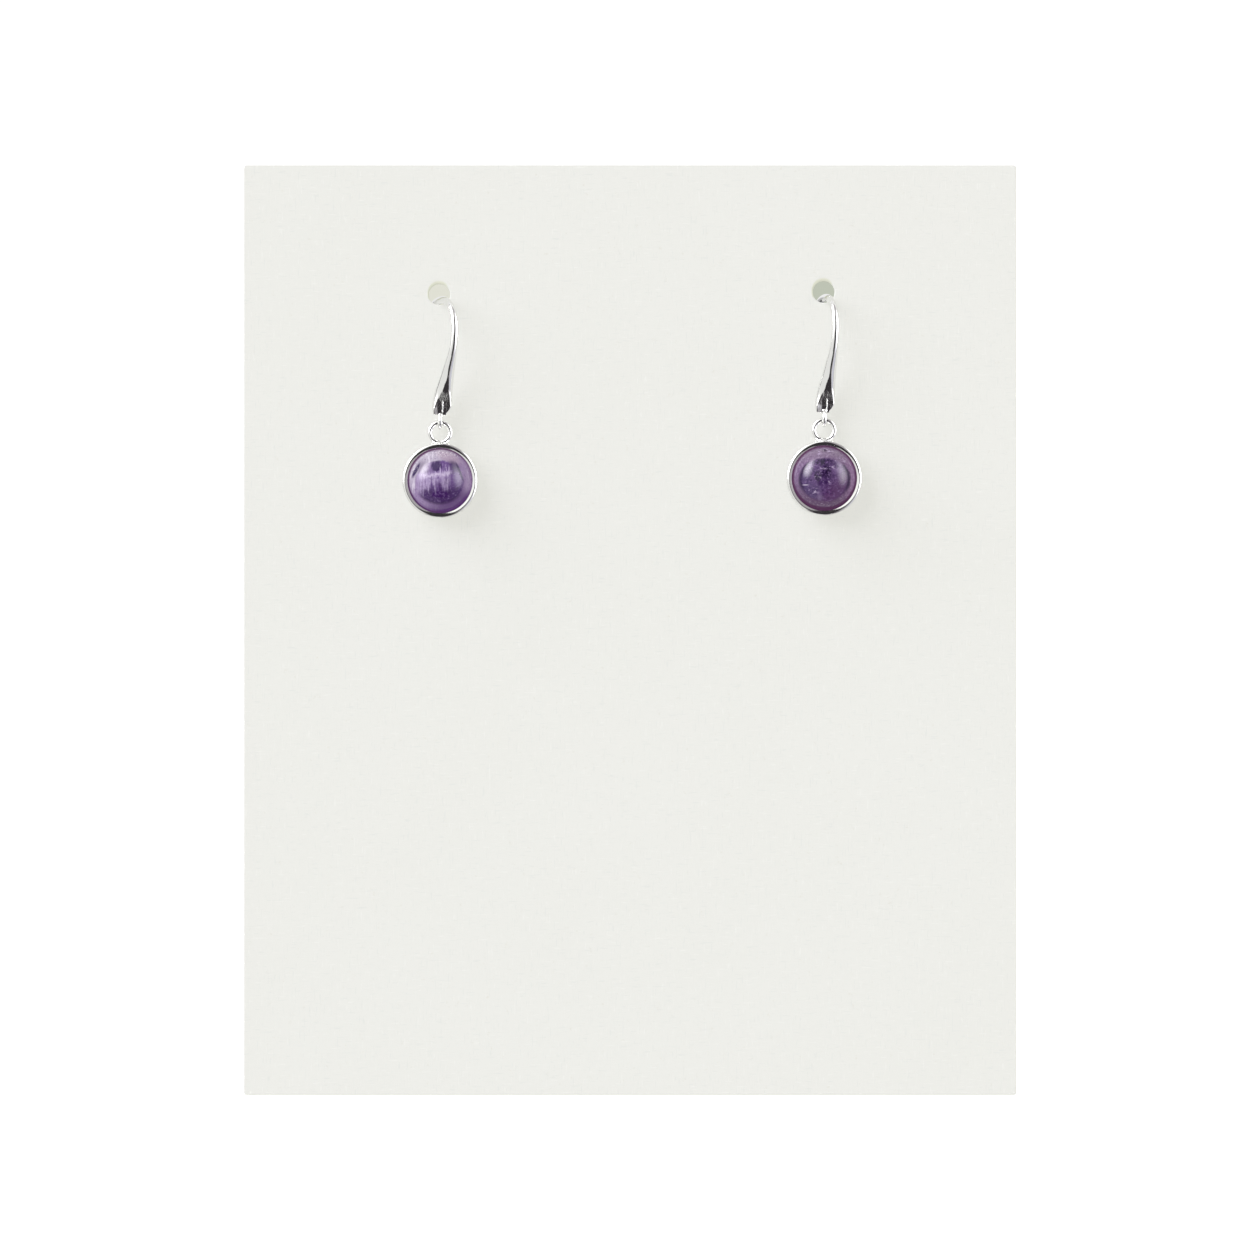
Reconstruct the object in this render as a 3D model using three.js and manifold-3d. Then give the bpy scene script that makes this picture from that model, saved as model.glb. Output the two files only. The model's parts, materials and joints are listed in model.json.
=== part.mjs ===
// A pair of drop earrings hanging from the two holes of a plain display card.
// Millimetres, +Z up. The card stands upright in the XZ plane with its face towards -Y, and the
// origin is the middle of its lower edge, half way through its thickness.
//
// Each earring is an ear hook and a drop. The hook is one solid: the wire that goes through the ear,
// the blade that it widens into, and the eye under the blade's foot. The drop is a bezel setting with
// its ring soldered on, which hangs in the eye, and the domed stone in the setting.

import * as THREE from "three";
import { mergeVertices } from "three/addons/utils/BufferGeometryUtils.js";
import Module from "manifold-3d";

const wasm = await Module();
wasm.setup();

// ---------- driving dimensions ----------

const CARD = { width: 75, height: 90.3, thickness: 0.5, holeDiameter: 2.2 };

const WIRE_DIAMETER = 0.7; // the ear wire
const HOOK_GAP = 0.08; // left open between a hook's arch and the edge of its hole
const LINK_GAP = 0.08; // left open between a drop's ring and the eye that it swings in
const STONE_GAP = 0.03; // left open between a stone and its setting

// Each side: where its hole is in the card, how far its hook is turned from square to the card, how
// far it leans across the card's face, how far it sits to the right of its hole's middle, how far the
// top of its arch stands in front of the card's middle plane, and how far its eye is in front of the
// arch's top.
const SIDES = [
  {
    name: "left",
    holeX: -18.56,
    holeZ: 77.68,
    turned: 27,
    lean: 1.9,
    aside: -0.05,
    topOut: 0.85,
    eyeForward: 0.49,
  },
  {
    name: "right",
    holeX: 18.85,
    holeZ: 78.02,
    turned: 18,
    lean: 2,
    aside: 0.02,
    topOut: 0.5,
    eyeForward: 0.77,
  },
];

// The hook's centreline from the top of its arch, in degrees and mm, with the facets of each stretch.
// A turn above 0 bends it down and round under the arch, a turn below 0 bends it away again.
const FRONT_PATH = [
  { radius: 3.06, turn: 90, steps: 8 },
  { radius: 6.3, turn: 24, steps: 3 },
  { length: 3.16, steps: 3 },
  { radius: 6.3, turn: -24, steps: 6 },
];
const BACK_PATH = [
  { radius: 4.2, turn: 90, steps: 8 },
  { length: 3.6, steps: 1 },
  { radius: 6, turn: -16, steps: 2 },
  { length: 2.3, steps: 1 },
  { length: 0.15, steps: 1 },
];

// The blade's sections, by depth below the top of the arch: its width across, how far its front and
// back stand off the centreline, how sharp its front ridge is (2 is round, 1 a plain roof), the share
// of the front that a flat facet takes off the ridge, and the share of the arch's turn that the blade
// is twisted back by, so that its foot is square to the card.
const BLADE = [
  { depth: 3.1, width: WIRE_DIAMETER, front: 0.35, back: 0.35, ridge: 2, facet: 0, squared: 0 },
  { depth: 4.1, width: 0.74, front: 0.38, back: 0.35, ridge: 1.9, facet: 0, squared: 0 },
  { depth: 5.1, width: 0.87, front: 0.42, back: 0.35, ridge: 1.75, facet: 0, squared: 0 },
  { depth: 6.4, width: 1.13, front: 0.48, back: 0.35, ridge: 1.6, facet: 0, squared: 0.15 },
  { depth: 7.5, width: 1.33, front: 0.54, back: 0.37, ridge: 1.5, facet: 0.02, squared: 0.5 },
  { depth: 8.5, width: 1.56, front: 0.6, back: 0.39, ridge: 1.5, facet: 0.12, squared: 0.85 },
  { depth: 9.4, width: 1.77, front: 0.64, back: 0.41, ridge: 1.5, facet: 0.24, squared: 1 },
  { depth: 10.2, width: 1.86, front: 0.64, back: 0.42, ridge: 1.6, facet: 0.34, squared: 1 },
  { depth: 10.7, width: 1.75, front: 0.58, back: 0.38, ridge: 1.8, facet: 0.3, squared: 1 },
  { depth: 11.08, width: 1.28, front: 0.42, back: 0.28, ridge: 2, facet: 0.15, squared: 1 },
];
const TAIL_TIP = { width: 0.42, front: 0.21, back: 0.21, ridge: 2, facet: 0, squared: 0 };

const EYE = { wire: 0.42, meanRadius: 0.68, bottomDepth: 12.43 };
const RING = { wire: 0.45, meanRadius: 0.985 };

// The setting is a round cup with a half-round rim, its back against the card.
const BEZEL = {
  radius: 3.655,
  depth: 1.6,
  rimWidth: 0.54,
  wall: 0.38,
  floor: 0.35,
  backCorner: 0.15,
  belowRing: 4.66, // from the ring's centre to the cup's
  behindRing: 0.75, // from the ring's plane back to the cup's outer face
};
const STONE = { domeRadius: 3.25 };

// Facets of the round shapes.
const WIRE_SIDES = 16;
const RING_SIDES = 10;
const RING_SEGMENTS = 30;
const CUP_SEGMENTS = 56;
const CORNER_STEPS = 2;
const RIM_STEPS = 12;
const DOME_STEPS = 11;
const HOLE_STEPS = 20; // in half a turn

const MERGE = 1e-4; // vertices nearer than this are one

// ---------- materials ----------

const card = new THREE.MeshStandardMaterial({ color: 0xedede8, roughness: 0.85 });
const silver = new THREE.MeshStandardMaterial({ color: 0xe4e4e6, roughness: 0.12, metalness: 1 });
const paleAmethyst = new THREE.MeshStandardMaterial({ color: 0x6f55a0, roughness: 0.08 });
const deepAmethyst = new THREE.MeshStandardMaterial({ color: 0x55387f, roughness: 0.08 });

// ---------- joining solids ----------

function solidFrom(geometry) {
  const bare = new THREE.BufferGeometry();
  bare.setAttribute("position", geometry.getAttribute("position"));
  bare.setIndex(geometry.getIndex());
  const merged = mergeVertices(bare, MERGE);
  const mesh = new wasm.Mesh({
    numProp: 3,
    vertProperties: merged.getAttribute("position").array,
    triVerts: new Uint32Array(merged.getIndex().array),
  });
  return new wasm.Manifold(mesh);
}

function joined(first, second) {
  const { vertProperties, triVerts } = solidFrom(first).add(solidFrom(second)).getMesh();
  const geometry = new THREE.BufferGeometry();
  geometry.setAttribute("position", new THREE.BufferAttribute(vertProperties, 3));
  geometry.setIndex(new THREE.BufferAttribute(triVerts, 1));
  geometry.computeVertexNormals();
  return geometry;
}

function named(name, geometry, material) {
  const mesh = new THREE.Mesh(geometry, material);
  mesh.name = name;
  return mesh;
}

// ---------- display card ----------

function cardGeometry() {
  const { width, height, thickness, holeDiameter } = CARD;
  const outline = new THREE.Shape();
  outline.moveTo(-width / 2, 0);
  outline.lineTo(width / 2, 0);
  outline.lineTo(width / 2, height);
  outline.lineTo(-width / 2, height);
  outline.closePath();
  for (const { holeX, holeZ } of SIDES) {
    const hole = new THREE.Path();
    hole.absarc(holeX, holeZ, holeDiameter / 2, 0, 2 * Math.PI, true);
    outline.holes.push(hole);
  }
  const options = { depth: thickness, bevelEnabled: false, curveSegments: HOLE_STEPS };
  const geometry = new THREE.ExtrudeGeometry(outline, options);
  geometry.rotateX(Math.PI / 2); // the outline's own Y becomes Z
  geometry.translate(0, thickness / 2, 0);
  return geometry;
}

// ---------- ear hook ----------
// It is drawn in its own plane: `forward` from the card towards the viewer and `up`, from the top of
// the arch's centreline. The wire's heading is an angle in that plane, 0 straight forward.

function walk(path) {
  const stations = [{ forward: 0, up: 0, heading: 0 }];
  let { forward, up, heading } = stations[0];
  for (const { length = 0, radius = 0, turn = 0, steps } of path) {
    const halfBend = THREE.MathUtils.degToRad(-turn) / steps / 2;
    const stride = length / steps + 2 * radius * Math.sin(Math.abs(halfBend));
    for (let i = 0; i < steps; i++) {
      heading += halfBend;
      forward += stride * Math.cos(heading);
      up += stride * Math.sin(heading);
      heading += halfBend;
      stations.push({ forward, up, heading });
    }
  }
  return stations;
}

// The back of the hook is walked as if it were the front, then turned round.
function hookStations() {
  const back = walk(BACK_PATH).map(({ forward, up, heading }) => ({
    forward: -forward,
    up,
    heading: -heading,
  }));
  return [...back.reverse(), ...walk(FRONT_PATH).slice(1)];
}

// The blade's section at a depth, between the table's rows.
function bladeAt(depth) {
  const below = BLADE.findIndex((row) => row.depth > depth);
  if (below === 0) return BLADE[0];
  if (below < 0) return BLADE[BLADE.length - 1];
  const upper = BLADE[below - 1];
  const lower = BLADE[below];
  const share = (depth - upper.depth) / (lower.depth - upper.depth);
  const mixed = {};
  for (const column of Object.keys(upper)) {
    mixed[column] = THREE.MathUtils.lerp(upper[column], lower[column], share);
  }
  return mixed;
}

function signedPower(value, power) {
  return Math.sign(value) * Math.abs(value) ** power;
}

function sectionOutline({ width, front, back, ridge, facet, squared }, yaw) {
  const points = [];
  const middle = new THREE.Vector2(0, 0);
  for (let i = 0; i < WIRE_SIDES; i++) {
    const angle = (i / WIRE_SIDES) * 2 * Math.PI;
    const atFront = Math.sin(angle) > 0;
    const power = atFront ? 2 / ridge : 1;
    const across = (width / 2) * signedPower(Math.cos(angle), power);
    const out = (atFront ? front : back) * signedPower(Math.sin(angle), power);
    const point = new THREE.Vector2(across, Math.min(out, front * (1 - facet)));
    points.push(point.rotateAround(middle, squared * yaw));
  }
  return points;
}

// Rings of points along the centreline, joined by quads and closed by a fan at each end.
function loft(stations, outlineAt) {
  const positions = [];
  const index = [];
  const place = ({ forward, up, heading }, across, out) =>
    positions.push(
      across,
      -(forward - out * Math.sin(heading)),
      up + out * Math.cos(heading),
    );
  for (const station of stations) {
    for (const { x: across, y: out } of outlineAt(station)) place(station, across, out);
  }
  for (let ring = 0; ring + 1 < stations.length; ring++) {
    for (let i = 0; i < WIRE_SIDES; i++) {
      const a = ring * WIRE_SIDES + i;
      const b = ring * WIRE_SIDES + ((i + 1) % WIRE_SIDES);
      index.push(a, b, b + WIRE_SIDES, a, b + WIRE_SIDES, a + WIRE_SIDES);
    }
  }
  const last = stations.length - 1;
  const firstMiddle = stations.length * WIRE_SIDES;
  place(stations[0], 0, 0);
  place(stations[last], 0, 0);
  for (let i = 0; i < WIRE_SIDES; i++) {
    const next = (i + 1) % WIRE_SIDES;
    index.push(firstMiddle, next, i);
    index.push(firstMiddle + 1, last * WIRE_SIDES + i, last * WIRE_SIDES + next);
  }
  const geometry = new THREE.BufferGeometry();
  geometry.setAttribute("position", new THREE.Float32BufferAttribute(positions, 3));
  geometry.setIndex(index);
  return geometry;
}

// The eye is square to the card too, so that the drop's ring hangs across it.
function hookGeometry(eyeForward, yaw) {
  const stations = hookStations();
  const [tip] = stations;
  const wireAndBlade = loft(stations, (station) => {
    if (station === tip) return sectionOutline(TAIL_TIP, yaw);
    return sectionOutline(station.forward > 0 ? bladeAt(-station.up) : BLADE[0], yaw);
  });
  const { wire, meanRadius, bottomDepth } = EYE;
  const eye = new THREE.TorusGeometry(meanRadius, wire / 2, RING_SIDES, RING_SEGMENTS);
  eye.rotateY(Math.PI / 2);
  eye.rotateZ(-yaw);
  eye.translate(0, -eyeForward, meanRadius - bottomDepth);
  return joined(wireAndBlade, eye);
}

// ---------- bezel setting, with its ring, and stone ----------
// The drop is drawn about the point that it hangs by: the middle of the wire at the eye's bottom.

const RING_DROP = RING.meanRadius - RING.wire / 2 - EYE.wire / 2 - LINK_GAP;
const CUP_DROP = RING_DROP + BEZEL.belowRing;

function arc(centreX, centreY, radius, from, to, steps) {
  return Array.from({ length: steps + 1 }, (_, i) => {
    const angle = THREE.MathUtils.degToRad(from + ((to - from) * i) / steps);
    return new THREE.Vector2(
      centreX + radius * Math.cos(angle),
      centreY + radius * Math.sin(angle),
    );
  });
}

// A profile of radius and height above the cup's back, turned about the cup's axis.
function lathed(profile) {
  const geometry = new THREE.LatheGeometry(profile, CUP_SEGMENTS);
  geometry.rotateX(Math.PI);
  geometry.translate(0, BEZEL.behindRing, -CUP_DROP);
  return geometry;
}

function settingGeometry() {
  const { radius, depth, rimWidth, wall, floor, backCorner } = BEZEL;
  const rim = rimWidth / 2;
  const profile = [
    new THREE.Vector2(0, 0),
    ...arc(radius - backCorner, backCorner, backCorner, -90, 0, CORNER_STEPS),
    ...arc(radius - rim, depth - rim, rim, 0, 180, RIM_STEPS),
    new THREE.Vector2(radius - wall, depth - 2 * rim),
    new THREE.Vector2(radius - wall, floor),
    new THREE.Vector2(0, floor),
  ];
  const ring = new THREE.TorusGeometry(RING.meanRadius, RING.wire / 2, RING_SIDES, RING_SEGMENTS);
  ring.rotateX(Math.PI / 2);
  ring.translate(0, 0, -RING_DROP);
  return joined(lathed(profile), ring);
}

// A dome that stands on the cup's floor and just clears the inside of the rim.
function stoneGeometry() {
  const { radius, depth, rimWidth, floor } = BEZEL;
  const { domeRadius } = STONE;
  const atRim = radius - rimWidth - STONE_GAP;
  const rimHeight = depth - rimWidth / 2;
  const centre = rimHeight - Math.sqrt(domeRadius ** 2 - atRim ** 2);
  const base = floor + STONE_GAP;
  const from = THREE.MathUtils.radToDeg(Math.asin((base - centre) / domeRadius));
  return lathed([
    new THREE.Vector2(0, base),
    ...arc(0, centre, domeRadius, from, 90, DOME_STEPS),
  ]);
}

// ---------- assembly ----------

// How high the top of the arch's centreline is above its hole's middle, so that the underside of the
// arch just clears the hole's lower edge where it crosses the card's back.
function topOverHole({ aside, topOut }, yaw) {
  const offMiddle = Math.abs(aside) + (CARD.thickness / 2) * Math.tan(yaw);
  const edgeDepth = Math.sqrt((CARD.holeDiameter / 2) ** 2 - offMiddle ** 2);
  const [{ radius }] = BACK_PATH;
  const innerRadius = radius - WIRE_DIAMETER / 2;
  const backFromTop = topOut + CARD.thickness / 2 / Math.cos(yaw);
  const fall = radius - Math.sqrt(innerRadius ** 2 - backFromTop ** 2);
  return fall - edgeDepth + HOOK_GAP;
}

function earring(side, stoneMaterial) {
  const { name, holeX, holeZ, lean, aside, topOut, eyeForward } = side;
  const yaw = THREE.MathUtils.degToRad(side.turned);
  const hook = named(`${name}_ear_hook`, hookGeometry(eyeForward, yaw), silver);
  hook.rotation.set(0, THREE.MathUtils.degToRad(lean), yaw, "YZX");
  hook.position.set(
    holeX + aside + topOut * Math.sin(yaw),
    -topOut * Math.cos(yaw),
    holeZ + topOverHole(side, yaw),
  );
  hook.updateMatrix();

  const drop = new THREE.Group();
  drop.position.set(0, -eyeForward, -EYE.bottomDepth);
  drop.position.applyMatrix4(hook.matrix);
  drop.add(
    named(`${name}_bezel_setting`, settingGeometry(), silver),
    named(`${name}_cabochon`, stoneGeometry(), stoneMaterial),
  );

  const group = new THREE.Group();
  group.add(hook, drop);
  return group;
}

const group = new THREE.Group();
group.add(
  named("display_card", cardGeometry(), card),
  earring(SIDES[0], paleAmethyst),
  earring(SIDES[1], deepAmethyst),
);

export default group;
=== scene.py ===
"""A pair of drop earrings on a display card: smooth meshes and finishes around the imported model."""

import json
import math
from types import SimpleNamespace

import bmesh
import bpy
import numpy as np
from mathutils import Matrix, Vector


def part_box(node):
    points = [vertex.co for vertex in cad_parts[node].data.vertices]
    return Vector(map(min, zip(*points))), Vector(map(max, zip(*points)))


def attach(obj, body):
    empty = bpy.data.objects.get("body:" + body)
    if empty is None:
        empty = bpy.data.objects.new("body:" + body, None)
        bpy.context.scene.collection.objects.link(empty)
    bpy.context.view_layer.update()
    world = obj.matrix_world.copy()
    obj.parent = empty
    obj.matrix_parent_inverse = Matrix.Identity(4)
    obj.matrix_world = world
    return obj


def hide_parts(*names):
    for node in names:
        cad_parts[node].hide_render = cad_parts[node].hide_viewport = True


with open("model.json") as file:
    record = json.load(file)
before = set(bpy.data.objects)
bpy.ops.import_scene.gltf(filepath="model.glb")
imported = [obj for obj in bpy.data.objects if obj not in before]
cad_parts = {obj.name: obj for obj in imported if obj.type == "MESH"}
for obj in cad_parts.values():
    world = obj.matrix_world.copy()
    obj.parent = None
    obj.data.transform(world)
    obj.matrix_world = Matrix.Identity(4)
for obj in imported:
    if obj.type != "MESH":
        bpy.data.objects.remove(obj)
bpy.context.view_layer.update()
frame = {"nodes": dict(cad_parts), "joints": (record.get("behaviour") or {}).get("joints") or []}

# ---------- driving dimensions, in millimetres and degrees ----------

MM = 0.001

# How far each hook is turned from square to the card, how far it leans across the card's face, and
# how far its eye is in front of its arch's top.
SIDES = {
    "left": {"turned": 27, "lean": 1.9, "eye_forward": 0.49},
    "right": {"turned": 18, "lean": 2, "eye_forward": 0.77},
}
WIRE_DIAMETER = 0.7

# The hook's centreline, forwards and backwards from the top of its arch. A turn above 0 bends it
# down and round under the arch, a turn below 0 bends it away again.
FRONT_PATH = [
    {"radius": 3.06, "turn": 90},
    {"radius": 6.3, "turn": 24},
    {"length": 3.16},
    {"radius": 6.3, "turn": -24},
]
BACK_PATH = [
    {"radius": 4.2, "turn": 90},
    {"length": 3.6},
    {"radius": 6, "turn": -16},
    {"length": 2.45},
]

# The blade's sections by depth below the arch's top: its width, how far its front and back stand off
# the centreline, how sharp its front ridge is (2 is round, 1 a plain roof, over 2 a squared bar), the
# share of the front that a flat facet takes off the ridge, how far the front leans to the right, the
# share of the arch's turn that the section is twisted back by, and the share trimmed off its right.
BLADE_COLUMNS = ("depth", "width", "front", "back", "ridge", "facet", "skew", "squared", "trim")
BLADE = [
    (3.1, WIRE_DIAMETER, 0.35, 0.35, 2, 0, 0, 0, 0),
    (4.1, 0.74, 0.38, 0.35, 1.9, 0, 0, 0, 0),
    (5.1, 0.87, 0.42, 0.35, 1.8, 0, 0, 0, 0),
    (6.4, 1.13, 0.48, 0.35, 1.72, 0, 0.02, 0.15, 0),
    (7.5, 1.33, 0.54, 0.37, 1.6, 0.03, 0.12, 0.5, 0),
    (8.5, 1.56, 0.58, 0.39, 1.5, 0.17, 0.26, 0.85, 0),
    (9.4, 1.77, 0.62, 0.41, 1.7, 0.29, 0.36, 1, 0),
    (10.2, 1.86, 0.6, 0.42, 2.2, 0.34, 0.3, 1, 0),
    (10.7, 1.8, 0.52, 0.38, 3, 0.35, 0.15, 1, 0.18),
    (11.0, 1.68, 0.44, 0.3, 3.4, 0.3, 0.05, 1, 0.38),
]
FACET_EDGE = 0.05  # how widely the blade's facet is rounded into its faces
FOOT_ROUND = 0.12
TIP_LEAST = 0.12  # the share of the wire's section that the tail's rounded tip starts with

EYE = {"wire": 0.42, "mean_radius": 0.68, "bottom_depth": 12.43}
EYE_SOLDER = {"half_size": (0.3, 0.42, 0.2), "above_eye": 0.06}
RING = {"wire": 0.45, "mean_radius": 0.985}
RING_SOLDER_HALF = (0.62, 0.34, 0.16)
LINK_GAP = 0.08
BEZEL = {
    "radius": 3.655,
    "depth": 1.6,
    "rim_width": 0.54,
    "rim_slope": 18,
    "lip_round": 0.08,
    "wall": 0.38,
    "floor": 0.35,
    "back_corner": 0.15,
    "below_ring": 4.66,
    "behind_ring": 0.75,
}
STONE = {"dome_radius": 3.25, "gap": 0.03}
RING_DROP = RING["mean_radius"] - RING["wire"] / 2 - EYE["wire"] / 2 - LINK_GAP
CUP_DROP = RING_DROP + BEZEL["below_ring"]

CARD_EDGE = 0.05  # how far the card's cut edges are rounded
CARD_CORNER = 0.25
PUNCHED_LIP = 0.16  # how far the front of a punched hole rolls in
PUNCH_DRAG = 2.6  # what that lip gains at the hole's top, as a share of its width

# The heights of the finishes' relief, and the polished metal's own colour.
THREAD_HEIGHT = 0.012
POLISH_MARKS = 0.0015
SEAM_HEIGHT = 0.03
STREAK_HEIGHT = 0.035
FOOT_BEND = 0.28  # how far the foot's left side has risen 1 mm out from where it starts to
FOOT_FACET = 0.245  # the slope of the flat facet at its lower left corner
SILVER = (0.87, 0.87, 0.86, 1.0)

# Places on the stones' faces: middle and half size of each oval, across and up.
CORE_MIDDLE = (0, -0.18)
DEEP_BLOTS = [
    ((-0.1, 1.5), (0.85, 0.32)),
    ((0.15, 0.55), (0.5, 0.62)),
    ((-0.7, 0.1), (0.35, 0.5)),
]
DEEP_FLECKS = [
    ((1.5, 1.6), (0.55, 0.35)),
    ((-0.6, 0.35), (0.4, 0.6)),
    ((0.35, -0.45), (0.6, 0.2)),
    ((-1.1, -1.3), (0.5, 0.3)),
    ((0.1, 2.45), (1.0, 0.4)),
]

# The studio, in metres and degrees. The view's width is a share of the card's.
KEY_FROM = (-0.7, -0.37, 0.6)
KEY_SPREAD = 55
FLOOR_HALF = 40
CAMERA_DISTANCE = 0.6
VIEW_WIDTH = 1.632

# How finely the meshes are cut.
STATION_STEP = 0.1
WIRE_SIDES = 64
CUP_SEGMENTS = 192
HOLE_SIDES = 72
DOME_STEPS = 72
DOME_END = 89.9  # the angle that the dome's profile stops at, just short of its top
WELD = 1e-7  # points that are this close, in metres, are one
AXIS = 0.001  # the radius of the small hole that a turned profile leaves on its axis
METAL_SHARP = 50  # edges that turn by more than this stay sharp
STONE_SHARP = 60

# ---------- mesh building ----------


def skin(rings, closed=False):
    """Vertices and faces of a skin over rings of points, which all have the same count.

    Its ends are capped where the rings don't close into a loop.
    """
    count = len(rings[0])
    verts = [point for ring in rings for point in ring]
    faces = []
    pairs = len(rings) if closed else len(rings) - 1
    for a in range(pairs):
        b = (a + 1) % len(rings)
        for i in range(count):
            j = (i + 1) % count
            faces.append((a * count + i, a * count + j, b * count + j, b * count + i))
    if not closed:
        faces.append(tuple(reversed(range(count))))
        faces.append(tuple(range(len(verts) - count, len(verts))))
    return verts, faces


def torus(centre, mean_radius, wire_radius, axis, around=96, across=24):
    """A ring of round wire about the x or the y axis."""
    rings = []
    for i in range(around):
        angle = 2 * math.pi * i / around
        ring = []
        for j in range(across):
            bend = 2 * math.pi * j / across
            reach = mean_radius + wire_radius * math.cos(bend)
            aside = wire_radius * math.sin(bend)
            if axis == "x":
                point = Vector((aside, reach * math.sin(angle), reach * math.cos(angle)))
            else:
                point = Vector((reach * math.sin(angle), aside, reach * math.cos(angle)))
            ring.append(centre + point)
        rings.append(ring)
    return skin(rings, closed=True)


def bead(centre, half_size, around=32, along=16):
    """A drop of solder, which is an ellipsoid."""
    rings = []
    for i in range(1, along):
        polar = math.pi * i / along
        ring = []
        for j in range(around):
            angle = 2 * math.pi * j / around
            out = math.sin(polar)
            ring.append(centre + Vector((
                half_size[0] * out * math.cos(angle),
                half_size[1] * out * math.sin(angle),
                half_size[2] * math.cos(polar),
            )))
        rings.append(ring)
    return skin(rings)


def lathe(profile):
    """A profile of radius and height turned about the cup's axis, its back at the cup's back."""
    rings = []
    for radius, height in profile:
        y = BEZEL["behind_ring"] - height
        ring = []
        for i in range(CUP_SEGMENTS):
            angle = 2 * math.pi * i / CUP_SEGMENTS
            ring.append(Vector((radius * math.cos(angle), y, radius * math.sin(angle) - CUP_DROP)))
        rings.append(ring)
    return skin(rings)


def arc(centre, radius, start, end, steps):
    """Points of an arc in a profile, by angles in degrees."""
    points = []
    for i in range(steps + 1):
        angle = math.radians(start + (end - start) * i / steps)
        points.append((centre[0] + radius * math.cos(angle), centre[1] + radius * math.sin(angle)))
    return points


def moved(matrix, part):
    """A skin moved by a matrix."""
    verts, faces = part
    return [matrix @ v for v in verts], faces


def piece(name, parts, origin, material, body, node, sharp):
    """One object from several skins in millimetres, which rides on a body and stands for a node.

    The key lamp throws its shadow, but it keeps no even light off the card beside it: a polished
    piece sends on as much light as it stops.
    """
    mesh = bpy.data.meshes.new(name)
    verts = []
    faces = []
    for part_verts, part_faces in parts:
        start = len(verts)
        verts += [v * MM for v in part_verts]
        faces += [tuple(start + i for i in face) for face in part_faces]
    mesh.from_pydata(verts, [], faces)
    shape = bmesh.new()
    shape.from_mesh(mesh)
    bmesh.ops.remove_doubles(shape, verts=shape.verts, dist=WELD)
    bmesh.ops.recalc_face_normals(shape, faces=shape.faces)
    shape.to_mesh(mesh)
    shape.free()
    mesh.polygons.foreach_set("use_smooth", [True] * len(mesh.polygons))
    mesh.set_sharp_from_angle(angle=math.radians(sharp))
    mesh.materials.append(material)
    made = bpy.data.objects.new(name, mesh)
    made.location = origin
    made.visible_diffuse = False
    bpy.context.scene.collection.objects.link(made)
    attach(made, body)
    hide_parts(node)


# ---------- shader building ----------


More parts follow.
